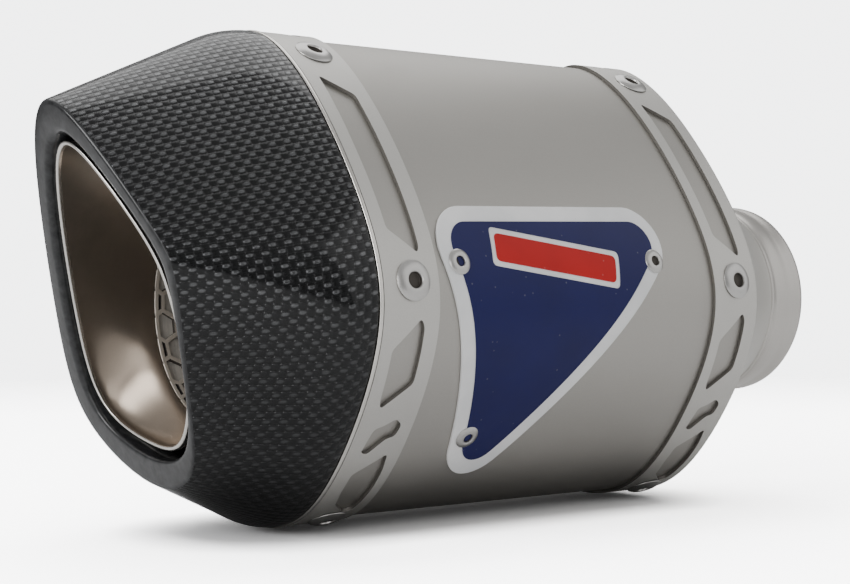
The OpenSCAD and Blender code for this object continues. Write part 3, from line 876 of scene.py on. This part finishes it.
# Liner: eases from the rim's outline to the round core, with a bright ground edge
liner = {"end": -186.8, "radius": 29.5, "wall": 1.0, "recess": 2.0, "edge": 1.1, "steps": 22}
u = np.linspace(0, 1, liner["steps"])
ease = u * u * (3 - 2 * u)
rimIn = lipRing("rim", 0, liner["recess"] + liner["edge"])
rimOut = lipRing("rim", liner["wall"], liner["recess"] + liner["edge"])
throatIn = facingRing(liner["end"], liner["radius"], "rim")
throatOut = facingRing(liner["end"], liner["radius"] + liner["wall"], "rim")
linerRings = [loft(throatIn, rimIn, a, b) for a, b in zip(u, ease)] + [
    loft(throatOut, rimOut, a, b) for a, b in zip(u[::-1], ease[::-1])
]
placePiece("outletLiner", shellMesh("outletLiner", linerRings), ["outlet_liner"], linerHeat)
edgeRings = [
    lipRing("rim", g, liner["recess"] + r)
    for g, r in ((-0.05, liner["edge"]), (-0.05, 0), (liner["wall"], 0), (liner["wall"], liner["edge"]))
]
placePiece(
    "linerEdge", shellMesh("linerEdge", roundedRings(edgeRings, [0, 0.45, 0.45, 0], 6)), None,
    metals["trim"]
)
print("outlet made")

# Core tube: a honeycomb wrapped to a cylinder. Each cell is six quads between its border and its hole.
core = {
    "radius": 29.5, "wall": 1.3, "rows": 30, "flats": 6.0, "outlet": -186.6, "inlet": -47.0,
    "endRing": 1.2, "inletRing": 4.0, "firstCell": 6, "endProud": 0.05, "sides": 6,
}
rowPitch = 2 * np.pi * core["radius"] / core["rows"]
cellPitch = rowPitch / math.cos(math.radians(30))
columns = int((core["inlet"] - core["outlet"]) / cellPitch) + 3
row, column = np.meshgrid(np.arange(core["rows"]), np.arange(columns), indexing="ij")
cellX = core["outlet"] + core["firstCell"] - cellPitch + (column + 0.5 * (row % 2)) * cellPitch
sides = core["sides"]
corner = np.radians(30 + 60 * np.arange(sides))
border, hole = cellPitch / math.sqrt(3), core["flats"] / math.sqrt(3)
reach = np.array([border, hole])[:, None]
honeyX = cellX[..., None, None] + reach * np.cos(corner)
honeyTurn = (row[..., None, None] * rowPitch + reach * np.sin(corner)) / core["radius"]
honey = np.stack([honeyX, core["radius"] * np.cos(honeyTurn), core["radius"] * np.sin(honeyTurn)], axis=-1)
cells = np.arange(row.size)[:, None] * 2 * sides + np.arange(sides)
nextCells = np.arange(row.size)[:, None] * 2 * sides + (np.arange(sides) + 1) % sides
honeyFaces = np.stack([cells, nextCells, nextCells + sides, cells + sides], axis=-1).reshape(-1, 4)
work = bmesh.new()
tubeMesh = bpy.data.meshes.new("coreTube")
tubeMesh.from_pydata((honey.reshape(-1, 3) * mm).tolist(), [], honeyFaces.tolist())
work.from_mesh(tubeMesh)
bmesh.ops.remove_doubles(work, verts=work.verts, dist=2e-5)
for x, away in ((core["outlet"], -1), (core["inlet"], 1)):
    everything = work.verts[:] + work.edges[:] + work.faces[:]
    bmesh.ops.bisect_plane(
        work, geom=everything, plane_co=(x * mm, 0, 0), plane_no=(away, 0, 0), clear_outer=True
    )
bmesh.ops.recalc_face_normals(work, faces=work.faces)
outward = sum(f.normal.dot(Vector((0, *f.calc_center_median()[1:]))) for f in work.faces)
if outward < 0:
    bmesh.ops.reverse_faces(work, faces=work.faces)
work.to_mesh(tubeMesh)
work.free()
tubeMesh.shade_smooth()
tubePiece = placePiece("coreTube", tubeMesh, ["core_tube"], tubeHeat)
thicken(tubePiece, core["wall"], 0.1, 1, 1.0)
# The hole walls take the dark shade finish: painted shade in the cells' holes
tubePiece.data.materials.append(metals["shade"])
tubePiece.modifiers["Solidify"].material_offset_rim = 1


def tubeEnd(name, x0, x1):
    inner, outer = core["radius"] - core["endProud"], core["radius"] + core["wall"] + core["endProud"]
    profile = [(inner, x0), (inner, x1), (outer, x1), (outer, x0)]
    alongX = [[[0, 0, 1, 0], [0, 1, 0, 0], [-1, 0, 0, 0], [0, 0, 0, 1]]]
    piece = placePiece(name, turnedMesh(name, profile, alongX, 120, True), None, tubeHeat)
    roundEdges(piece, 0.25)


tubeEnd("coreTubeOutletEnd", core["outlet"], core["outlet"] + core["endRing"])
tubeEnd("coreTubeInletEnd", core["inlet"] - core["inletRing"], core["inlet"])
print("core made")

# Inlet cap: a pressed cone from the body's outline to the collar, with a skirt inside the sleeve
inlet = {
    "start": -36.6, "end": -14.2, "bend": 1.25, "innerBend": 1.1, "collar": 27.8, "wall": 0.9,
    "skirtOut": -2.85, "skirtIn": -4.05, "skirtEnd": -52.0, "steps": 20
}
u = np.linspace(0, 1, inlet["steps"])
coneOut = [
    loft(
        flatRing(inlet["start"]), facingRing(inlet["end"], inlet["collar"]), a, 1 - (1 - a) ** inlet["bend"]
    )
    for a in u
]
coneIn = [
    loft(
        flatRing(inlet["start"], inlet["skirtIn"]),
        facingRing(inlet["end"], inlet["collar"] - inlet["wall"]), a, 1 - (1 - a) ** inlet["innerBend"]
    )
    for a in u[::-1]
]
inletRings = [
    flatRing(inlet["skirtEnd"], inlet["skirtIn"]), flatRing(inlet["skirtEnd"], inlet["skirtOut"]),
    flatRing(inlet["start"] - 0.1, inlet["skirtOut"])
] + coneOut + coneIn
inletRadii = [0.2, 0.2, 0, 1.0] + [0] * (len(inletRings) - 4)
placePiece(
    "inletCap", shellMesh("inletCap", roundedRings(inletRings, inletRadii, 6), sharp=60.0), ["inlet_cap"],
    metals["band"]
)

# Collar: a turned slip joint with a rolled bead, then the cone that widens to the core
collar = {
    "profile": [(25.5, 30.0), (25.5, 1.6), (25.7, 0.7), (26.2, 0.15), (26.8, 0.0), (27.4, 0.3),
                (27.8, 0.95), (27.98, 2.0), (27.95, 3.2), (27.7, 4.3), (27.52, 5.3), (27.6, 6.3),
                (27.85, 7.6), (27.98, 9.0), (27.98, 10.4), (27.85, 11.8), (27.6, 12.4), (27.35, 12.7),
                (27.35, 12.9), (27.8, 13.1), (28.15, 13.5), (28.18, 14.0), (27.9, 14.4), (26.7, 14.5),
                (26.7, 30.0)],
    "flare": [(25.5, 30.2), (26.5, 30.2), (30.5, 45.6), (30.5, 46.6), (29.5, 46.6), (29.5, 45.8)],
}
axisX = [[[0, 0, -1, 0], [0, 1, 0, 0], [1, 0, 0, 0], [0, 0, 0, 1]]]
placePiece(
    "inletCollar", turnedMesh("inletCollar", collar["profile"], axisX, 160, True, 50.0), ["inlet_collar"],
    metals["collar"]
)
placePiece(
    "inletFlare", turnedMesh("inletFlare", collar["flare"], axisX, 128, True), ["inlet_flare"],
    metals["inner"]
)
print("inlet made")

# Plate: a rounded pennant of white enamel, a blue field and a red bar, riveted to the sleeve
badge = {
    "corners": [(-145, 19), (-73, 19), (-127, -43)], "pull": 9.0, "radius": 10.0, "border": 4.0,
    "bar": {"middle": (-110, 11), "size": (40, 7), "turn": -8.0, "line": 1.4, "radius": 1.5},
    "depth": -0.2, "wall": 0.8, "enamel": 0.22, "circlePoints": 96, "loopPoints": 189, "sideEnd": 5.4,
}


# The outer side's arc at a height z, read back from the outline's plate side
def arcAtHeight(z):
    near = denseStations <= badge["sideEnd"]
    heights = splineAt(outlines["body"], denseStations[near])[:, 1]
    return np.interp(-z, -heights, denseArc[near])


# Outline of circles of radius r round the pulled-in corners, joined by their common tangents
def pennantLoop(grow):
    p = np.array(badge["corners"], float)
    way = p.mean(axis=0) - p
    centres = p + way / np.linalg.norm(way, axis=1)[:, None] * badge["pull"]
    angle = np.arange(badge["circlePoints"]) / badge["circlePoints"] * 2 * np.pi
    direction = np.column_stack([np.cos(angle), np.sin(angle)])
    owner = (direction @ centres.T).argmax(axis=1)
    loop = centres[owner] + direction * (badge["radius"] + grow)
    closed = np.vstack([loop, loop[:1]])
    run = np.concatenate([[0], np.cumsum(np.linalg.norm(np.diff(closed, axis=0), axis=1))])
    where = np.linspace(0, run[-1], badge["loopPoints"] + 1)[:-1]
    return np.column_stack([np.interp(where, run, closed[:, 0]), np.interp(where, run, closed[:, 1])])


def barLoop(grow):
    bar = badge["bar"]
    w, h = bar["size"][0] / 2 + grow, bar["size"][1] / 2 + grow
    turn = math.radians(bar["turn"])
    corners = np.array([(-w, -h), (w, -h), (w, h), (-w, h)]) @ np.array(
        [[math.cos(turn), math.sin(turn)], [-math.sin(turn), math.cos(turn)]]
    )
    return roundedLoop(corners + bar["middle"], bar["radius"], 1.3)


def badgeSheet(name, boundary, holes, depth, wall, nodes, material, edge):
    loops = [np.column_stack([l[:, 0], arcAtHeight(l[:, 1])]) for l in [boundary] + holes]
    mesh = sheetMesh(name, loops[0], loops[1:], lambda x, arc: onBody(x, arc, np.full_like(arc, depth)))
    piece = placePiece(name, mesh, nodes, material)
    thicken(piece, wall, edge)


badgeSheet(
    "badgePlate", pennantLoop(0), [], badge["depth"], badge["wall"], ["badge_plate"],
    enamels["white"], 0.2
)
top = badge["depth"] + badge["enamel"]
badgeSheet(
    "badgeField", pennantLoop(-badge["border"]), [barLoop(badge["bar"]["line"])], top, badge["enamel"],
    ["badge_field"], enamels["blue"], 0.08
)
badgeSheet(
    "badgeStripe", barLoop(0), [], top, badge["enamel"], ["badge_stripe"], enamels["red"],
    0.08
)
print("plate made")

# Carried-over CAD pieces: finish and softened edges
carried = {
    "outlet_seal": sealRubber, "inlet_seal": sealRubber, "core_wrap": metals["wool"], "packing": glassMat,
}
for key, material in carried.items():
    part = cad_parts[key]
    part.data.materials.clear()
    part.data.materials.append(material)

# Welded and bolted pieces whose edges are broken: CAD node, material slot, finish, edge radius
softened = {
    "outletBulkhead": ("outlet_bulkhead", "inner_metal", metals["inner"], 0.2),
    "hangerBracket": ("hanger_bracket", "hanger_metal", metals["hanger"], 0.4),
    "hangerRivets": ("hanger_rivets", "rivet_metal", metals["rivet"], 0.12),
    "hangerGrommet": ("hanger_grommet", "grommet_rubber", grommetRubber, 0.5),
    "hangerBush": ("hanger_bush", "bush_steel", metals["bush"], 0.35),
}
for name, (key, slot, material, edge) in softened.items():
    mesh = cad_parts[key].data.copy()
    mesh.name = name
    mesh.materials.clear()
    work = bmesh.new()
    work.from_mesh(mesh)
    bmesh.ops.remove_doubles(work, verts=work.verts, dist=2e-6)
    bmesh.ops.dissolve_limit(work, angle_limit=math.radians(1.0), verts=work.verts, edges=work.edges)
    work.to_mesh(mesh)
    work.free()
    finishMesh(mesh, 30.0)
    roundEdges(placePiece(name, mesh, [key], material), edge, 3)
print("carried pieces finished")

# Floor, light and camera
stage = {
    "floor": -0.0585, "radius": 1.6, "fadeFrom": 0.42, "fadeTo": 0.75, "colour": (0.82, 0.82, 0.825),
    "lift": 11.0, "contact": 0.020, "paintedShadowRange": (0.3, 0.9), "paintedShadowDark": 0.16, "points": 128,
}


def makeFloor():
    turn = np.arange(stage["points"]) / stage["points"] * 2 * np.pi
    ring = np.column_stack([np.cos(turn), np.sin(turn)]) * stage["radius"]
    centre = np.array([-0.1, 0.0])
    points = np.column_stack([ring + centre, np.full(stage["points"], stage["floor"])])
    mesh = bpy.data.meshes.new("floor")
    mesh.from_pydata(points.tolist(), [], [list(range(stage["points"]))])
    floor = bpy.data.objects.new("floor", mesh)
    bpy.context.scene.collection.objects.link(floor)
    material, tree, shader = newMaterial("paperFloor", Roughness=0.75)
    place = objectPlace(tree)
    grain = noise(tree, place, 300.0, 2.0)
    colour = blendColour(
        tree, rangeOf(tree, grain, 0.3, 0.7, 0.0, 1.0), (*[c * 0.99 for c in stage["colour"]], 1),
        (*stage["colour"], 1)
    )
    flat = node(tree, "ShaderNodeVectorMath", {0: place, 1: (0.1, 0, 0)}, operation="ADD").outputs[0]
    far = node(tree, "ShaderNodeVectorMath", {0: flat}, operation="LENGTH").outputs["Value"]
    # Painted shadow: the floor's colour is darkened where the body is near, found by an occlusion test
    nearby = node(tree, "ShaderNodeAmbientOcclusion", {"Distance": stage["contact"]}).outputs["AO"]
    contact = rangeOf(tree, nearby, *stage["paintedShadowRange"], stage["paintedShadowDark"], 1.0)
    colour = node(tree, "ShaderNodeVectorMath", {0: colour, "Scale": contact}, operation="SCALE").outputs[0]
    lifted = node(
        tree, "ShaderNodeVectorMath", {0: colour, "Scale": stage["lift"]}, operation="SCALE"
    ).outputs[0]
    shown = blendColour(tree, node(tree, "ShaderNodeLightPath").outputs["Is Camera Ray"], colour, lifted)
    feed(
        tree, shader, Base_Color=shown,
        Alpha=rangeOf(tree, far, stage["fadeFrom"], stage["fadeTo"], 1.0, 0.0)
    )
    mesh.materials.append(material)


makeFloor()

world = bpy.data.worlds.new("studio")
bpy.context.scene.world = world
world.use_nodes = True
air = world.node_tree
shell = next(n for n in air.nodes if n.type == "BACKGROUND")
seen = node(air, "ShaderNodeLightPath").outputs["Is Camera Ray"]
heading = node(
    air, "ShaderNodeSeparateXYZ", {0: node(air, "ShaderNodeTexCoord").outputs["Generated"]}
).outputs
overhead = rangeOf(air, heading[2], -0.1, 1.0, 0.13, 0.50)
dim = node(air, "ShaderNodeCombineColor", {0: overhead, 1: overhead, 2: overhead}).outputs[0]
air.links.new(blendColour(air, seen, dim, (4.8, 4.85, 4.9, 1)), shell.inputs["Color"])

# Soft boxes: place, size in metres, power in watts
lamps = {
    "overhead": {"at": (0.0, 0.55, 1.05), "size": (1.8, 1.0), "power": 7.5},
    "right": {"at": (0.70, -0.85, 0.25), "size": (1.9, 1.7), "power": 6.0},
    "left": {"at": (-1.0, -0.02, 0.33), "size": (0.5, 0.45), "power": 4.8},
    "front": {"at": (-0.95, -0.80, 0.15), "size": (0.8, 0.8), "power": 3.5},
}
for name, values in lamps.items():
    lamp = bpy.data.lights.new(name, "AREA")
    lamp.shape = "RECTANGLE"
    lamp.size, lamp.size_y = values["size"]
    lamp.energy = values["power"]
    holder = bpy.data.objects.new(name, lamp)
    bpy.context.scene.collection.objects.link(holder)
    aim = Vector((-0.1, 0, 0)) - Vector(values["at"])
    holder.matrix_world = Matrix.Translation(values["at"]) @ aim.to_track_quat("-Z", "Y").to_matrix().to_4x4()
    holder.visible_camera = False

camera = {"at": (-0.4095, -0.3645, 0.0043), "yaw": 38.32, "pitch": -0.23, "roll": -0.11, "lens": 73.8}
lensData = bpy.data.cameras.new("camera")
lensData.lens, lensData.sensor_width = camera["lens"], 36.0
lensData.clip_start, lensData.clip_end = 0.01, 20.0
viewer = bpy.data.objects.new("camera", lensData)
bpy.context.scene.collection.objects.link(viewer)
yaw, pitch = math.radians(camera["yaw"]), math.radians(camera["pitch"])
forward = Vector((math.sin(yaw) * math.cos(pitch), math.cos(yaw) * math.cos(pitch), math.sin(pitch)))
roll = Matrix.Rotation(math.radians(camera["roll"]), 4, "Z").to_quaternion()
turned = forward.to_track_quat("-Z", "Y") @ roll
viewer.matrix_world = Matrix.Translation(camera["at"]) @ turned.to_matrix().to_4x4()
bpy.context.scene.camera = viewer
print("stage set")
